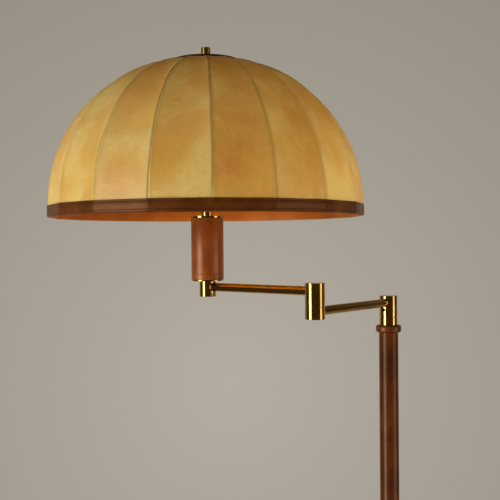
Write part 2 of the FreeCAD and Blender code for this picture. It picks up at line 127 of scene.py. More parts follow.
def makeCamera(values):
    data = bpy.data.cameras.new("photoCamera")
    data.sensor_width = values["sensor"]
    data.sensor_fit = "HORIZONTAL"
    data.lens = values["sensor"] * values["focalPixels"] / values["imagePixels"]
    camera = bpy.data.objects.new("photoCamera", data)
    turn = Matrix.Rotation(math.radians(values["yaw"]), 4, "Z")
    turn = turn @ Matrix.Rotation(math.radians(90 + values["pitch"]), 4, "X")
    turn = turn @ Matrix.Rotation(math.radians(values["roll"]), 4, "Z")
    camera.matrix_world = Matrix.Translation(values["place"]) @ turn
    bpy.context.scene.collection.objects.link(camera)
    bpy.context.scene.camera = camera


makeCamera(cameraView)
bpy.context.scene.view_settings.view_transform = "Standard"

# Light: a tall softbox left and right of the camera, a faint one overhead, and three cards that give light
# but no highlight
lamps = {
    "leftSoftbox": {"bearing": -57, "distance": 1.9, "height": 1.0, "width": 0.85, "tall": 1.8,
                    "power": 18, "colour": "FFF8EE", "shows": True},
    "leftCard": {"bearing": -66, "distance": 1.9, "height": 1.0, "width": 1.2, "tall": 1.8,
                 "power": 25, "colour": "FFF8EE", "shows": False},
    "rightSoftbox": {"bearing": 70, "distance": 1.9, "height": 1.0, "width": 0.78, "tall": 1.8,
                     "power": 6.6, "colour": "FFF0DC", "shows": True},
    "rightCard": {"bearing": 50, "distance": 1.9, "height": 1.0, "width": 1.2, "tall": 1.8,
                  "power": 27, "colour": "FFE8C8", "shows": False},
    "lowCard": {"bearing": 105, "distance": 1.6, "height": 0.55, "width": 1.2, "tall": 0.9,
                "power": 3, "colour": "FFDDB0", "shows": False},
    "topSoftbox": {"bearing": -10, "distance": 0.9, "height": 3.0, "width": 1.6, "tall": 1.6,
                   "power": 0.5, "colour": "FFF4E6", "shows": True},
}
lampTarget = Vector((-0.13, -0.10, 1.22))


def makeLamp(name, values):
    data = bpy.data.lights.new(name, "AREA")
    data.shape = "RECTANGLE"
    data.size = values["width"]
    data.size_y = values["tall"]
    data.energy = values["power"]
    data.color = linear(values["colour"])[:3]
    lamp = bpy.data.objects.new(name, data)
    a = math.radians(values["bearing"])
    lamp.location = (lampTarget.x + values["distance"] * math.sin(a),
                     lampTarget.y - values["distance"] * math.cos(a), values["height"])
    look = lampTarget - lamp.location
    lamp.rotation_euler = look.to_track_quat("-Z", "Y").to_euler()
    lamp.visible_glossy = values["shows"]
    bpy.context.scene.collection.objects.link(lamp)


for name, values in lamps.items():
    makeLamp(name, values)

# The paper's "light" and "dark" colours make a painted pool of light: paler at its middle, darker outward
backdrop = {"light": "B4ACA0", "dark": "918B80", "centre": (-0.048, 0.985, -0.165), "reach": 0.6,
            "room": "40321A", "glow": "A69C8C", "level": 0.85, "wallFrom": 0.35, "wallTo": 0.72,
            "ceilingFrom": 0.2, "ceilingTo": 0.6}


def makeWorld(values):
    # Warm grey paper behind the lamp; reflections see a pale wall there, and a dark room and ceiling
    # elsewhere
    world = bpy.data.worlds.new("studio")
    bpy.context.scene.world = world
    world.use_nodes = True
    tree = world.node_tree
    tree.nodes.clear()
    way = addNode(tree, "ShaderNodeTexCoord").outputs["Generated"]
    # Painted pool of light on the paper: paler at its middle, darker outward
    away = addNode(tree, "ShaderNodeVectorMath", {0: way, 1: values["centre"]}, operation="DISTANCE")
    fall = addNode(tree, "ShaderNodeMapRange", {"Value": away.outputs["Value"], "From Min": 0.0,
                   "From Max": values["reach"]})
    paper = addNode(tree, "ShaderNodeMix", {0: fall.outputs["Result"], 6: linear(values["light"]),
                    7: linear(values["dark"])}, data_type="RGBA")
    seen = addNode(tree, "ShaderNodeBackground", {"Color": paper.outputs[2], "Strength": 1.0})
    parts = addNode(tree, "ShaderNodeSeparateXYZ", {0: way})
    side = addNode(tree, "ShaderNodeMapRange", {"Value": parts.outputs["Y"], "From Min": values["wallFrom"],
                   "From Max": values["wallTo"]}, interpolation_type="SMOOTHSTEP")
    belowCeiling = addNode(tree, "ShaderNodeMapRange", {"Value": parts.outputs["Z"],
                           "From Min": values["ceilingFrom"], "From Max": values["ceilingTo"],
                           "To Min": 1.0, "To Max": 0.0}, interpolation_type="SMOOTHSTEP")
    wall = addNode(tree, "ShaderNodeMath", {0: side.outputs["Result"], 1: belowCeiling.outputs["Result"]},
                   operation="MULTIPLY")
    room = addNode(tree, "ShaderNodeMix", {0: wall.outputs[0], 6: linear(values["room"]),
                   7: linear(values["glow"])}, data_type="RGBA")
    around = addNode(tree, "ShaderNodeBackground", {"Color": room.outputs[2],
                     "Strength": values["level"]})
    path = addNode(tree, "ShaderNodeLightPath")
    both = addNode(tree, "ShaderNodeMixShader", {0: path.outputs["Is Camera Ray"],
                   1: around.outputs[0], 2: seen.outputs[0]})
    addNode(tree, "ShaderNodeOutputWorld", {"Surface": both.outputs[0]})


makeWorld(backdrop)


def finish(name, bm, material, body, stands=(), smooth=35):
    # Millimetres to metres, smooth shading with creases kept, then the ride on its body
    bmesh.ops.scale(bm, vec=(0.001, 0.001, 0.001), verts=bm.verts)
    mesh = bpy.data.meshes.new(name)
    bm.to_mesh(mesh)
    bm.free()
    for polygon in mesh.polygons:
        polygon.use_smooth = True
    mesh.set_sharp_from_angle(angle=math.radians(smooth))
    piece = bpy.data.objects.new(name, mesh)
    bpy.context.scene.collection.objects.link(piece)
    mesh.materials.append(material)
    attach(piece, body)
    if stands:
        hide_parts(*stands)
    return piece


def turn(points, axis, steps, closed=True):
    # Turns a profile of (radius, height) corners about a vertical axis into a closed skin
    bm = bmesh.new()
    ring = [bm.verts.new((axis.x + r, axis.y, z)) for r, z in points]
    edges = [bm.edges.new((a, b)) for a, b in zip(ring, ring[1:])]
    if closed:
        edges.append(bm.edges.new((ring[-1], ring[0])))
    bmesh.ops.spin(bm, geom=ring + edges, cent=axis, axis=(0, 0, 1), angle=math.tau, steps=steps,
                   use_merge=True)
    bmesh.ops.remove_doubles(bm, verts=bm.verts, dist=0.001)
    bmesh.ops.recalc_face_normals(bm, faces=bm.faces)
    return bm


def roundRings(bm, axis, corners, size, segments):
    # Rounds the ring edges that run through the given (radius, height) corners
    near = 0.02
    chosen = []
    for edge in bm.edges:
        spots = [((v.co - axis).xy.length, v.co.z) for v in edge.verts]
        for r, z in corners:
            if all(abs(s[0] - r) < near and abs(s[1] - z) < near for s in spots):
                chosen.append(edge)
    bmesh.ops.bevel(bm, geom=chosen, offset=size, offset_type="OFFSET", segments=segments, profile=0.5,
                    affect="EDGES", material=-1, clamp_overlap=True)
    bmesh.ops.recalc_face_normals(bm, faces=bm.faces)


# Parchment: goatskin scraped and dried on the frame; cloudy amber, glassy where thin, light comes through.
# cloud, patch, vein and speck are sizes in millimetres, and the shares say how much each adds to the tone
parchmentLook = {"pale": "E7C27E", "amber": "D5A759", "deep": "BE893F", "deepAt": 0.41, "amberAt": 0.75,
                 "paleAt": 1.09, "cloud": 85.0, "patch": 26.0, "vein": 70.0, "speck": 5.0,
                 "patchShare": 0.32, "speckShare": 0.20, "ownShare": 0.06, "veinColour": "8A5A1E",
                 "veinShare": 0.05, "veinWide": 0.010, "glueColour": "A98B55", "glueShare": 0.24,
                 "glueFrom": 0.055, "glueTo": 0.08, "roughness": 0.40, "scatter": 0.9,
                 "scatterDepth": 0.006}


def makeParchment(values):
    material, tree, output, place = startMaterial("scrapedGoatskin")
    uv = addNode(tree, "ShaderNodeUVMap", uv_map="goreMap").outputs["UV"]
    split = addNode(tree, "ShaderNodeSeparateXYZ", {0: uv})
    gore = addNode(tree, "ShaderNodeMath", {0: split.outputs["X"]}, operation="FLOOR").outputs[0]
    across = addNode(tree, "ShaderNodeMath", {0: split.outputs["X"]}, operation="FRACT").outputs[0]
    own = addNode(tree, "ShaderNodeTexWhiteNoise", {"W": gore}, noise_dimensions="1D")
    shift = addNode(tree, "ShaderNodeVectorMath", {0: own.outputs["Color"], 1: (3, 3, 3)},
                    operation="MULTIPLY")  # no two hides share a pattern
    spot = addNode(tree, "ShaderNodeVectorMath", {0: place, 1: shift.outputs[0]},
                   operation="ADD").outputs[0]
    cloud = addNode(tree, "ShaderNodeTexNoise", {"Vector": spot, "Scale": perMetre(values["cloud"]),
                    "Detail": 3.0, "Roughness": 0.55, "Distortion": 0.35})
    patch = addNode(tree, "ShaderNodeTexNoise", {"Vector": spot, "Scale": perMetre(values["patch"]),
                    "Detail": 4.0, "Roughness": 0.6, "Distortion": 0.6})
    speck = addNode(tree, "ShaderNodeTexNoise", {"Vector": spot, "Scale": perMetre(values["speck"]),
                    "Detail": 2.0, "Roughness": 0.6})
    mixed = addNode(tree, "ShaderNodeMath", {0: patch.outputs["Fac"], 1: values["patchShare"],
                    2: cloud.outputs["Fac"]}, operation="MULTIPLY_ADD").outputs[0]
    mixed = addNode(tree, "ShaderNodeMath", {0: speck.outputs["Fac"], 1: values["speckShare"], 2: mixed},
                    operation="MULTIPLY_ADD").outputs[0]
    tone = addNode(tree, "ShaderNodeMath", {0: own.outputs["Value"], 1: values["ownShare"], 2: mixed},
                   operation="MULTIPLY_ADD").outputs[0]
    colour = ramp(tree, tone, [(values["deepAt"], values["deep"]), (values["amberAt"], values["amber"]),
                               (values["paleAt"], values["pale"])])
    ridge = addNode(tree, "ShaderNodeTexNoise", {"Vector": spot, "Scale": perMetre(values["vein"]),
                    "Detail": 1.0, "Distortion": 0.8})
    nearLine = addNode(tree, "ShaderNodeMath", {0: ridge.outputs["Fac"], 1: 0.5},
                       operation="SUBTRACT").outputs[0]
    nearLine = addNode(tree, "ShaderNodeMath", {0: nearLine}, operation="ABSOLUTE").outputs[0]
    # Hair-thin darker veins in the hide
    vein = addNode(tree, "ShaderNodeMapRange", {"Value": nearLine, "From Min": 0.0,
                   "From Max": values["veinWide"], "To Min": values["veinShare"], "To Max": 0.0}).outputs[0]
    colour = addNode(tree, "ShaderNodeMix", {0: vein, 6: colour, 7: linear(values["veinColour"])},
                     data_type="RGBA").outputs[2]
    # Greyer strip where two hides are glued on the rib
    strip = addNode(tree, "ShaderNodeMapRange", {"Value": across, "From Min": values["glueFrom"],
                    "From Max": values["glueTo"], "To Min": values["glueShare"], "To Max": 0.0}).outputs[0]
    colour = addNode(tree, "ShaderNodeMix", {0: strip, 6: colour, 7: linear(values["glueColour"])},
                     data_type="RGBA").outputs[2]
    rough = roughFrom(tree, patch, values["roughness"] - 0.06, values["roughness"] + 0.10)
    grain = addNode(tree, "ShaderNodeBump", {"Strength": 0.15, "Distance": 0.0005,
                    "Height": speck.outputs["Fac"]}).outputs[0]
    swell = addNode(tree, "ShaderNodeBump", {"Strength": 0.22, "Distance": 0.003,
                    "Height": patch.outputs["Fac"], "Normal": grain}).outputs[0]
    shader = addNode(tree, "ShaderNodeBsdfPrincipled", {"Base Color": colour, "Roughness": rough,
                     "Normal": swell, "IOR": 1.45, "Specular IOR Level": 1.0,
                     "Subsurface Weight": values["scatter"], "Subsurface Radius": (1.0, 0.6, 0.28),
                     "Subsurface Scale": values["scatterDepth"]})
    tree.links.new(shader.outputs[0], output.inputs["Surface"])
    return material


def makeLeather(name, values):
    # Waxed hide: cloudy dye, pores, and a soft wax shine
    material, tree, output, place = startMaterial(name)
    cloud = addNode(tree, "ShaderNodeTexNoise", {"Vector": place, "Scale": perMetre(values["cloud"]),
                    "Detail": 4.0, "Roughness": 0.6, "Distortion": 0.3})
    grain = addNode(tree, "ShaderNodeTexVoronoi", {"Vector": place, "Scale": perMetre(values["grain"])},
                    feature="SMOOTH_F1")
    fine = addNode(tree, "ShaderNodeTexNoise", {"Vector": place, "Scale": perMetre(values["grain"] * 0.6),
                   "Detail": 3.0, "Roughness": 0.7})
    mixed = addNode(tree, "ShaderNodeMath", {0: fine.outputs["Fac"], 1: 0.3, 2: cloud.outputs["Fac"]},
                    operation="MULTIPLY_ADD").outputs[0]
    colour = ramp(tree, mixed, [(0.45, values["dark"]), (0.66, values["mid"]), (0.88, values["light"])])
    rough = roughFrom(tree, cloud, values["roughness"] + 0.05, values["roughness"] - 0.05)
    pores = addNode(tree, "ShaderNodeBump", {"Strength": values["relief"], "Distance": 0.0004,
                    "Height": grain.outputs["Distance"]}).outputs[0]
    creases = addNode(tree, "ShaderNodeBump", {"Strength": values["relief"], "Distance": 0.0008,
                      "Height": fine.outputs["Fac"], "Normal": pores}).outputs[0]
    shader = addNode(tree, "ShaderNodeBsdfPrincipled", {"Base Color": colour, "Roughness": rough,
                     "Normal": creases, "IOR": 1.5, "Specular IOR Level": values["shine"],
                     "Specular Tint": linear(values["wax"])})
    tree.links.new(shader.outputs[0], output.inputs["Surface"])
    return material


# The grain is drawn at 3 mm, coarser than the hide's 1 mm, so that it shows
leatherLooks = {
    "columnCalf": {"dark": "32160A", "mid": "46210D", "light": "5C3014", "cloud": 60, "grain": 3.0,
                   "roughness": 0.30, "relief": 0.14, "shine": 0.65, "wax": "FAD8B4"},
    "collarCalf": {"dark": "3E1C0C", "mid": "542A12", "light": "6A3A1C", "cloud": 25, "grain": 2.6,
                   "roughness": 0.32, "relief": 0.18, "shine": 0.9, "wax": "FAD8B4"},
    "gripCalf": {"dark": "66300F", "mid": "783A13", "light": "8C4C1C", "cloud": 30, "grain": 2.6,
                 "roughness": 0.33, "relief": 0.14, "shine": 1.0, "wax": "FFE6D2"},
    "bandCalf": {"dark": "381A08", "mid": "4A250C", "light": "623614", "cloud": 45, "grain": 2.6,
                 "roughness": 0.42, "relief": 0.20, "shine": 0.75, "wax": "F2BE88"},
    # The lining's colours are partly painted light: paler to stand in for the glow that comes through the
    # parchment
    "liningCalfPaintedGlow": {"dark": "A85C22", "mid": "B96827", "light": "C67531", "cloud": 45, "grain": 2.6,
                   "roughness": 0.55, "relief": 0.22, "shine": 0.25, "wax": "F4D2B0"},
    "baseCalf": {"dark": "34170A", "mid": "48230E", "light": "5E3115", "cloud": 70, "grain": 3.0,
                 "roughness": 0.42, "relief": 0.22, "shine": 0.30, "wax": "F0C8A0"},
    "capCalf": {"dark": "2A1108", "mid": "3C1D0C", "light": "502A14", "cloud": 30, "grain": 2.6,
                "roughness": 0.48, "relief": 0.25, "shine": 0.25, "wax": "F0C8A0"},
}


def makeMetal(name, values):
    # Turned and polished metal: faint lathe lines, slight hazing, and deeper colour where it has aged
    latheLines, latheStretch = 6.0, 14
    material, tree, output, place = startMaterial(name)
    haze = addNode(tree, "ShaderNodeTexNoise", {"Vector": place, "Scale": perMetre(values["haze"]),
                   "Detail": 4.0, "Roughness": 0.6})
    stretch = addNode(tree, "ShaderNodeMapping", {"Vector": place, "Scale": (1, 1, latheStretch)}).outputs[0]
    lines = addNode(tree, "ShaderNodeTexNoise", {"Vector": stretch, "Scale": perMetre(latheLines),
                    "Detail": 2.0})
    colour = ramp(tree, haze.outputs["Fac"], [(0.30, values["aged"]), (0.58, values["bright"])])
    rough = roughFrom(tree, haze, values["roughness"] + 0.02, values["roughness"] - 0.02)
    relief = addNode(tree, "ShaderNodeBump", {"Strength": values["relief"], "Distance": 0.0002,
                     "Height": lines.outputs["Fac"]}).outputs[0]
    shader = addNode(tree, "ShaderNodeBsdfPrincipled", {"Base Color": colour, "Metallic": 1.0,
                     "Roughness": rough, "Normal": relief})
    tree.links.new(shader.outputs[0], output.inputs["Surface"])
    return material


metalLooks = {
    "polishedBrass": {"bright": "E3C07A", "aged": "D2AA5C", "haze": 22, "roughness": 0.10,
                      "relief": 0.002},
    "dulledBrass": {"bright": "D4B45E", "aged": "BC9A48", "haze": 9, "roughness": 0.18, "relief": 0.02},
    "satinBrass": {"bright": "D6B468", "aged": "BE964C", "haze": 18, "roughness": 0.28, "relief": 0.05},
    "turnedSteel": {"bright": "B9BABC", "aged": "96979A", "haze": 14, "roughness": 0.28, "relief": 0.05},
    "blackenedSteel": {"bright": "2A2826", "aged": "181716", "haze": 8, "roughness": 0.50, "relief": 0.05},
    "rolledAluminium": {"bright": "D2D3D5", "aged": "B4B6B8", "haze": 10, "roughness": 0.30, "relief": 0.05},
}


def makeMatter(name, values):
    # Painted, cast, moulded or pressed stuff that isn't metal to the eye
    material, tree, output, place = startMaterial(name)
    grain = addNode(tree, "ShaderNodeTexNoise", {"Vector": place, "Scale": perMetre(values["grain"]),
                    "Detail": 5.0, "Roughness": 0.65})
    cloud = addNode(tree, "ShaderNodeTexNoise", {"Vector": place, "Scale": perMetre(values["grain"] * 12),
                    "Detail": 2.0})
    mixed = addNode(tree, "ShaderNodeMath", {0: grain.outputs["Fac"], 1: 0.6, 2: cloud.outputs["Fac"]},
                    operation="MULTIPLY_ADD").outputs[0]
    colour = ramp(tree, mixed, [(0.55, values["dark"]), (1.0, values["light"])])
    rough = roughFrom(tree, cloud, values["roughness"] - 0.05, values["roughness"] + 0.05)
    relief = addNode(tree, "ShaderNodeBump", {"Strength": values["relief"], "Distance": 0.0005,
                     "Height": grain.outputs["Fac"]}).outputs[0]
    shader = addNode(tree, "ShaderNodeBsdfPrincipled", {"Base Color": colour, "Roughness": rough,
                     "Normal": relief, "IOR": 1.5, "Sheen Weight": values["fuzz"], "Sheen Roughness": 0.6})
    tree.links.new(shader.outputs[0], output.inputs["Surface"])
    return material


matterLooks = {
    "woolFelt": {"dark": "1E1B19", "light": "34302C", "grain": 1.6, "roughness": 0.9, "relief": 0.8,
                 "fuzz": 0.5},
    "castIron": {"dark": "232221", "light": "3A3836", "grain": 2.2, "roughness": 0.62, "relief": 0.6,
                 "fuzz": 0.0},
    "mouldedNylon": {"dark": "171615", "light": "22201E", "grain": 0.8, "roughness": 0.45, "relief": 0.2,
                     "fuzz": 0.0},
    "pressedFibre": {"dark": "5A3A22", "light": "7A5234", "grain": 1.2, "roughness": 0.75, "relief": 0.4,
                     "fuzz": 0.05},
    "phenolicResin": {"dark": "15110F", "light": "241B17", "grain": 1.5, "roughness": 0.28, "relief": 0.1,
                      "fuzz": 0.0},
    "ribPaint": {"dark": "A58A55", "light": "C4A870", "grain": 2.0, "roughness": 0.45, "relief": 0.15,
                 "fuzz": 0.0},
    "waxedThread": {"dark": "6E4A2A", "light": "A07848", "grain": 0.9, "roughness": 0.55, "relief": 0.6,
                    "fuzz": 0.15},
}


def makeBulbGlass():
    # Bulb glass, etched white inside: milky, with a clean gloss on its outside
    material, tree, output, place = startMaterial("etchedBulbGlass")
    cloud = addNode(tree, "ShaderNodeTexNoise", {"Vector": place, "Scale": perMetre(12.0), "Detail": 3.0})
    colour = ramp(tree, cloud.outputs["Fac"], [(0.3, "EDEAE2"), (0.7, "F6F4EE")])
    shader = addNode(tree, "ShaderNodeBsdfPrincipled", {"Base Color": colour, "Roughness": 0.12, "IOR": 1.5,
                     "Transmission Weight": 0.25, "Subsurface Weight": 0.3,
                     "Subsurface Radius": (1.0, 0.95, 0.9), "Subsurface Scale": 0.006})
    tree.links.new(shader.outputs[0], output.inputs["Surface"])
    return material


parchment = makeParchment(parchmentLook)
leathers = {name: makeLeather(name, values) for name, values in leatherLooks.items()}
metals = {name: makeMetal(name, values) for name, values in metalLooks.items()}
matters = {name: makeMatter(name, values) for name, values in matterLooks.items()}
bulbGlass = makeBulbGlass()
print("materials made")

# Each CAD slot's finish
slotFinish = {
    "felt": matters["woolFelt"], "iron": matters["castIron"], "base_leather": leathers["baseCalf"],
    "bushing": matters["mouldedNylon"], "steel": metals["turnedSteel"],
    "column_leather": leathers["columnCalf"], "collar_leather": leathers["collarCalf"],
    "grip_leather": leathers["gripCalf"], "brass": metals["polishedBrass"],
    "grub_steel": metals["blackenedSteel"], "harp_brass": metals["satinBrass"],
    "liner_fibre": matters["pressedFibre"], "phenolic": matters["phenolicResin"],
    "bulb_aluminium": metals["rolledAluminium"], "bulb_glass": bulbGlass, "rib_paint": matters["ribPaint"],
    "parchment": parchment, "band_leather": leathers["bandCalf"], "cap_leather": leathers["capCalf"],
}
for part in frame["record"]["subparts"]:
    node = nodes[part["node"]]
    if not node.material_slots:
        node.data.materials.append(None)
    for slot in node.material_slots:
        slot.material = slotFinish[part["material_slot"]]
nodes["finial"].material_slots[0].material = metals["dulledBrass"]  # fingers have dulled it
print("CAD nodes dressed")

# Shade panels: eighteen hides, each hollow between its two ribs, its right edge a little proud of the next
panels = {"gores": 18, "radius": 228.6, "dome": 213.7, "wide": 2.285, "tall": 1.935, "firstRib": 276.1,
          "sag": 5.0, "sagPower": 0.8, "thick": 0.9, "tuck": 12.5, "tuckShare": 0.05, "topRadius": 20.0,
          "gap": 0.2, "lift": 0.25, "liftWide": 8.0, "liftEdge": 0.5, "capFrom": 52, "capTo": 75,
          "columns": 26, "rows": 64}


def rise(radius):
    return panels["dome"] * (1 - (radius / panels["radius"]) ** panels["wide"]) ** (1 / panels["tall"])


def meridian(share, bandTop):
    # Rib line and its outward normal, from the band (0) to the top plate (1)
    p = panels
    limit = math.asin((rise(p["topRadius"]) / p["dome"]) ** (p["tall"] / 2))
    a = limit * share
    radius = p["radius"] * math.cos(a) ** (2 / p["wide"])
    height = p["dome"] * math.sin(a) ** (2 / p["tall"])
    outward = (radius / p["radius"]) ** (p["wide"] - 1) * p["wide"] / p["radius"]
    upward = (height / p["dome"]) ** (p["tall"] - 1) * p["tall"] / p["dome"] if height > 0 else 0.0
    size = math.hypot(outward, upward)
    return radius, bandTop + height, Vector((outward / size, 0, upward / size))


def smoothStep(low, high, value):
    t = min(max((value - low) / (high - low), 0), 1)
    return t * t * (3 - 2 * t)


def gorePoint(radius, height, normal, side, sag):
    # Point of a gore that faces +X, at a sideways distance from its middle
    half = radius * math.sin(math.pi / panels["gores"])
    depth = sag * (1 - (side / half) ** 2)
    return Vector((radius * math.cos(math.pi / panels["gores"]), side, height)) - normal * depth


def makePanels(values, bandTop):
    bm = bmesh.new()
    bmesh.ops.create_grid(bm, x_segments=values["columns"], y_segments=values["rows"], size=0.5)
    uvLayer = bm.loops.layers.uv.new("goreMap")
    tuckShare = values["tuckShare"]  # the lowest rows run straight down behind the band
    step = math.tau / values["gores"]
    shares = {}
    for vert in bm.verts:
        across, up = vert.co.x + 0.5, vert.co.y + 0.5
        share = up * (1 + tuckShare) - tuckShare
        if share < 0:
            radius, height = values["radius"], bandTop + share / tuckShare * values["tuck"]
            normal, sag = Vector((1, 0, 0)), 0.0
        else:
            radius, height, normal = meridian(share, bandTop)
            sag = values["sag"] * math.sin(math.pi * share) ** values["sagPower"] * radius / values["radius"]
        half = radius * math.sin(step / 2)
        fade = smoothStep(0.0, 0.05, share) * smoothStep(values["capFrom"], values["capTo"], radius)
        side = (half - values["gap"]) * (2 * across - 1)
        rim = smoothStep(half - values["liftWide"], half - values["liftEdge"], side)
        lift = values["lift"] * fade * rim
        vert.co = gorePoint(radius, height, normal, side, sag) + normal * lift
        shares[vert.index] = (0.005 + 0.99 * across, up)  # stays inside the gore's own unit of the map
    for face in bm.faces:
        for loop in face.loops:
            loop[uvLayer].uv = shares[loop.vert.index]
    turned = Matrix.Rotation(math.radians(values["firstRib"]) + step / 2, 4, "Z")
    bmesh.ops.transform(bm, matrix=Matrix.Translation(lightAxis) @ turned, verts=bm.verts)
    first = list(bm.verts) + list(bm.edges) + list(bm.faces)
    for k in range(1, values["gores"]):
        copy = bmesh.ops.duplicate(bm, geom=first)["geom"]
        verts = [item for item in copy if isinstance(item, bmesh.types.BMVert)]
        bmesh.ops.rotate(bm, cent=lightAxis, matrix=Matrix.Rotation(step * k, 3, "Z"), verts=verts)
        for face in copy:
            if isinstance(face, bmesh.types.BMFace):
                for loop in face.loops:
                    loop[uvLayer].uv.x += k
    bmesh.ops.recalc_face_normals(bm, faces=bm.faces)
    for face in bm.faces:
        middle = face.calc_center_median() - lightAxis
        if face.normal.dot(Vector((middle.x, middle.y, middle.z - bandTop + 60))) < 0:
            face.normal_flip()
    piece = finish("parchmentGores", bm, parchment, "light", ["shade_panels"], smooth=50)
    wall = piece.modifiers.new("thickness", "SOLIDIFY")
    wall.thickness = values["thick"] / 1000
    wall.offset = -1
    return piece


bandLow, bandHigh = boxOf("shade_band")
makePanels(panels, bandHigh.z)
print("parchment gores made")

# Band: one strip of calf folded round the rim, creased along both edges, with a soft corner at each rib
band = {"leather": 1.5, "outer": 230.17, "inner": 222.4, "fold": 2.4, "edge": 0.55, "crease": 2.4,
        "lowCrease": 4.0, "creaseHalf": 0.5, "creaseDeep": 0.35, "corner": 3.0}


def makeBand(values):
    low, high = bandLow.z, bandHigh.z
    out, inner, t = values["outer"], values["inner"], values["leather"]
    deep, half = values["creaseDeep"], values["creaseHalf"]
    upper, lower = high - values["crease"], low + values["lowCrease"]
    profile = [(out, high), (out, upper + half), (out - deep, upper), (out, upper - half),
               (out, lower + half), (out - deep, lower), (out, lower - half), (out, low), (inner, low),
               (inner, high), (inner + t, high), (inner + t, low + t), (out - t, low + t), (out - t, high)]
    bm = turn(profile, lightAxis, 18)
    turned = Matrix.Rotation(math.radians(panels["firstRib"]), 3, "Z")
    bmesh.ops.rotate(bm, cent=lightAxis, matrix=turned, verts=bm.verts)
    roundRings(bm, lightAxis, [(out, low), (inner, low)], values["fold"], 4)
    rims = [(out, high), (inner, high), (inner + t, high), (out - t, high)]
    roundRings(bm, lightAxis, rims, values["edge"], 2)
    upright = []
    for edge in bm.edges:
        a, b = [v.co - lightAxis for v in edge.verts]
        if abs(math.atan2(a.y, a.x) - math.atan2(b.y, b.x)) < 0.001:
            upright.append(edge)
    bmesh.ops.bevel(bm, geom=upright, offset=values["corner"], offset_type="OFFSET", segments=3,
                    profile=0.5, affect="EDGES", material=-1, clamp_overlap=True)
    bmesh.ops.recalc_face_normals(bm, faces=bm.faces)
    # The inside is a paler calf lining; part of its paleness is painted light, standing in for the glow that
    # comes through the parchment
    split = (out + inner) / 2 * math.cos(math.pi / panels["gores"]) + 1.0
    for face in bm.faces:
        middle = (face.calc_center_median() - lightAxis).xy.length
        face.material_index = 1 if middle < split else 0
    piece = finish("foldedBand", bm, leathers["bandCalf"], "light", ["shade_band"])
    piece.data.materials.append(leathers["liningCalfPaintedGlow"])


makeBand(band)

# Top cap: moulded leather disc with a tooled line near its rim
cap = {"radius": 51.0, "edge": 2.6, "gap": 0.2, "hole": 3.13, "boss": 12.0, "line": 4.2, "lineDeep": 0.4,
       "lineHalf": 0.7, "flat": 8.0, "crownPower": 1.7, "round": 1.1, "underRings": (24, 36, 44),
       "crownRings": (40, 32, 24, 16, 8)}


def makeCap(values):
    low, high = boxOf("shade_cap")
    top, bandTop = high.z, bandHigh.z
    rim = bandTop + rise(values["radius"]) + values["gap"]
    apex = bandTop + panels["dome"] + values["gap"]
    profile = [(values["hole"], apex), (values["boss"], apex - 0.01)]
    for r in values["underRings"]:
        profile.append((r, bandTop + rise(r) + values["gap"]))
    profile.append((values["radius"], rim))
    upper = rim + values["edge"]
    profile.append((values["radius"], upper))

    def crown(r):
        share = (r - values["flat"]) / (values["radius"] - values["flat"])
        return upper + (top - upper) * (1 - share ** values["crownPower"])

    deep, half = values["lineDeep"], values["lineHalf"]
    line = values["radius"] - values["line"]
    for r, drop in ((values["radius"] - 1.5, 0), (line + half, 0), (line, deep), (line - half, 0)):
        profile.append((r, crown(r) - drop))
    for r in values["crownRings"]:
        profile.append((r, crown(r)))
    profile.append((values["hole"], top))
    bm = turn(profile, lightAxis, 96)
    roundRings(bm, lightAxis, [(values["radius"], upper), (values["radius"], rim)], values["round"], 3)
    finish("leatherCap", bm, leathers["capCalf"], "light", ["shade_cap"])


makeCap(cap)

# Leather cylinder below the shade, with a skived seam at the back and a tooled line near its foot
grip = {"outer": 23.8, "inner": 22.25, "edge": 0.7, "line": 8.2, "lineDeep": 0.45, "lineHalf": 0.6,
        "seam": 90.0, "seamWide": 1.2, "seamDeep": 0.5}


def makeSleeve(name, values, axis, low, high, steps, material, body, node, lines=()):
    # A leather tube with rounded ends, tooled lines round it and a butted seam down its back
    profile = [(values["inner"], low), (values["outer"], low)]
    for z in lines:
        half = values["lineHalf"]
        profile += [(values["outer"], z - half), (values["outer"] - values["lineDeep"], z),
                    (values["outer"], z + half)]
    profile += [(values["outer"], high), (values["inner"], high)]
    bm = turn(profile, axis, steps)
    roundRings(bm, axis, [(values["outer"], low), (values["outer"], high)], values["edge"], 2)
    skin = 0.8
    for vert in bm.verts:
        flat = (vert.co - axis).xy
        angle = math.degrees(math.atan2(flat.y, flat.x)) - values["seam"]
        angle = (angle + 180) % 360 - 180
        wide = math.radians(abs(angle)) * values["outer"]
        if flat.length > values["outer"] - skin and wide < values["seamWide"] * 2:
            pull = values["seamDeep"] * (1 - smoothStep(0, values["seamWide"] * 2, wide))
            shift = flat.normalized() * pull
            vert.co.x -= shift.x
            vert.co.y -= shift.y
    return finish(name, bm, material, body, [node])


low, high = boxOf("grip_leather")
makeSleeve("gripSleeve", grip, lightAxis, low.z, high.z, 120, leathers["gripCalf"], "light", "grip_leather",
           [low.z + grip["line"]])

# The column's sleeve, closed down its back with cross stitches
column = {"outer": 14.3, "inner": 12.75, "edge": 0.6, "seam": 90.0, "seamWide": 0.9, "seamDeep": 0.5,
          "stitchPitch": 7.0, "stitchLong": 5.2, "stitchThick": 0.45, "stitchFlat": 0.8,
          "stitchSink": 0.12, "stitchTilt": 38, "stitchEnd": 15}
low, high = boxOf("column_leather")
makeSleeve("columnSleeve", column, columnAxis, low.z, high.z, 72, leathers["columnCalf"], "stand",
           "column_leather")

# Collars: rolled leather rings at the column's foot and top
collars = {"bore": 14.35, "outer": 18.9, "round": 3.4, "segments": 6, "boreRound": 0.5}


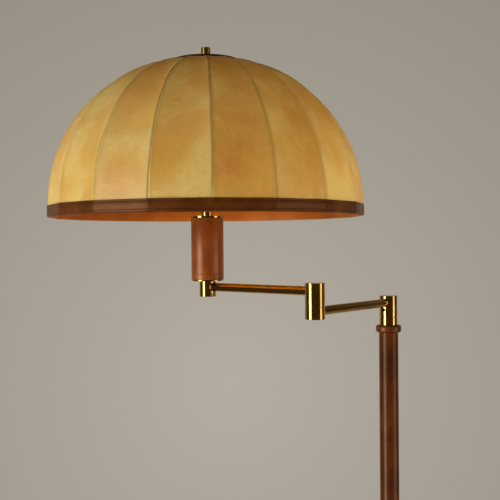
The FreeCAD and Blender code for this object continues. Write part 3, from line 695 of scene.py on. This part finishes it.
def makeCollar(name, node, values):
    low, high = boxOf(node)
    profile = [(values["bore"], low.z), (values["outer"], low.z), (values["outer"], high.z),
               (values["bore"], high.z)]
    bm = turn(profile, columnAxis, 84)
    corners = [(values["outer"], low.z), (values["outer"], high.z)]
    roundRings(bm, columnAxis, corners, values["round"], values["segments"])
    roundRings(bm, columnAxis, [(values["bore"], low.z), (values["bore"], high.z)], values["boreRound"], 2)
    finish(name, bm, leathers["collarCalf"], "stand", [node])


makeCollar("topCollar", "top_collar", collars)
makeCollar("footCollar", "foot_collar", collars)

# Base skin, rounded over the weight's edge, with a row of stitches sunk in a groove
base = {"outer": 145.0, "leather": 1.5, "hole": 12.8, "round": 7.5, "rings": (90, 50),
        "stitchRing": 133.0, "stitches": 150, "stitchLong": 3.6, "stitchThick": 0.5, "stitchFlat": 0.8,
        "stitchSink": 0.15, "grooveDeep": 0.35, "grooveHalf": 0.9}


def makeBase(values):
    low, high = boxOf("base_leather")
    t, out = values["leather"], values["outer"]
    ring, deep, half = values["stitchRing"], values["grooveDeep"], values["grooveHalf"]
    profile = [(out - t, low.z), (out, low.z), (out, high.z), (ring + half, high.z), (ring, high.z - deep),
               (ring - half, high.z)]
    profile += [(r, high.z) for r in values["rings"]]
    profile += [(values["hole"], high.z), (values["hole"], high.z - t), (out - t, high.z - t)]
    bm = turn(profile, columnAxis, 144)
    roundRings(bm, columnAxis, [(out, high.z)], values["round"], 7)
    roundRings(bm, columnAxis, [(out - t, high.z - t)], values["round"] - t, 5)
    finish("baseSkin", bm, leathers["baseCalf"], "stand", ["base_leather"])


makeBase(base)


def oneStitch(bm, size, matrix):
    # A short round thread, flattened where it dives into its holes
    made = bmesh.ops.create_uvsphere(bm, u_segments=8, v_segments=6, radius=1.0)["verts"]
    bmesh.ops.scale(bm, vec=size, verts=made)
    bmesh.ops.transform(bm, matrix=matrix, verts=made)


def makeRimStitches(values):
    high = boxOf("base_leather")[1]
    bm = bmesh.new()
    for k in range(values["stitches"]):
        turned = Matrix.Rotation(math.tau * k / values["stitches"], 4, "Z")
        matrix = turned @ Matrix.Translation((values["stitchRing"], 0, high.z - values["stitchSink"]))
        thick = values["stitchThick"]
        oneStitch(bm, (thick, values["stitchLong"] / 2, thick * values["stitchFlat"]), matrix)
    finish("rimStitches", bm, matters["waxedThread"], "stand", smooth=80)


def makeSeamStitches(values):
    # Cross stitches over the butted seam at the back of the column
    low, high = boxOf("column_leather")
    bm = bmesh.new()
    count = int((high.z - low.z - 2 * values["stitchEnd"]) / values["stitchPitch"])
    thick = values["stitchThick"]
    for k in range(count):
        z = low.z + values["stitchEnd"] + (k + 0.5) * values["stitchPitch"]
        for tilt in (-values["stitchTilt"], values["stitchTilt"]):
            spot = Matrix.Translation((0, values["outer"] - values["stitchSink"], z))
            matrix = spot @ Matrix.Rotation(math.radians(tilt), 4, "Y")
            oneStitch(bm, (thick, thick * values["stitchFlat"], values["stitchLong"] / 2), matrix)
    finish("seamStitches", bm, matters["waxedThread"], "stand", smooth=80)


makeRimStitches(base)
makeSeamStitches(column)

# Felt pad under the weight
felt = {"round": 0.8}


def makeFelt(values):
    low, high = boxOf("felt_pad")
    radius = (high.x - low.x) / 2
    profile = [(0.0, low.z), (radius, low.z), (radius, high.z), (0.0, high.z)]
    bm = turn(profile, columnAxis, 96, closed=False)
    roundRings(bm, columnAxis, [(radius, low.z), (radius, high.z)], values["round"], 2)
    finish("feltPad", bm, matters["woolFelt"], "stand", ["felt_pad"])


makeFelt(felt)
print("leather and felt made")

# Floor: pale disc that fades out before its rim (metres; its grain in millimetres)
floor = {"colour": "D6CFC4", "shade": "CFC8BD", "radius": 2.5, "solid": 1.2, "gone": 0.98, "grain": 40.0}


def makeFloor(values):
    bm = bmesh.new()
    bmesh.ops.create_circle(bm, cap_ends=True, segments=96, radius=values["radius"])
    mesh = bpy.data.meshes.new("paleFloor")
    bm.to_mesh(mesh)
    bm.free()
    disc = bpy.data.objects.new("paleFloor", mesh)
    bpy.context.scene.collection.objects.link(disc)
    material, tree, output, place = startMaterial("paleFloorPaper")
    grain = addNode(tree, "ShaderNodeTexNoise", {"Vector": place, "Scale": perMetre(values["grain"]),
                    "Detail": 3.0})
    colour = ramp(tree, grain.outputs["Fac"], [(0.3, values["shade"]), (0.7, values["colour"])])
    paper = addNode(tree, "ShaderNodeBsdfPrincipled", {"Base Color": colour, "Roughness": 0.8})
    gone = addNode(tree, "ShaderNodeBsdfTransparent")
    reach = addNode(tree, "ShaderNodeVectorMath", {0: place}, operation="LENGTH").outputs["Value"]
    fade = addNode(tree, "ShaderNodeMapRange", {"Value": reach, "From Min": values["solid"],
                   "From Max": values["radius"] * values["gone"]},
                   interpolation_type="SMOOTHSTEP").outputs[0]
    below = addNode(tree, "ShaderNodeNewGeometry").outputs["Backfacing"]  # clear from below, for the felt
    clear = addNode(tree, "ShaderNodeMath", {0: fade, 1: below}, operation="MAXIMUM").outputs[0]
    both = addNode(tree, "ShaderNodeMixShader", {0: clear, 1: paper.outputs[0], 2: gone.outputs[0]})
    tree.links.new(both.outputs[0], output.inputs["Surface"])
    mesh.materials.append(material)
    disc.visible_glossy = False  # the brass reflects the dark room below it, as in the picture


makeFloor(floor)

print("scene ready")
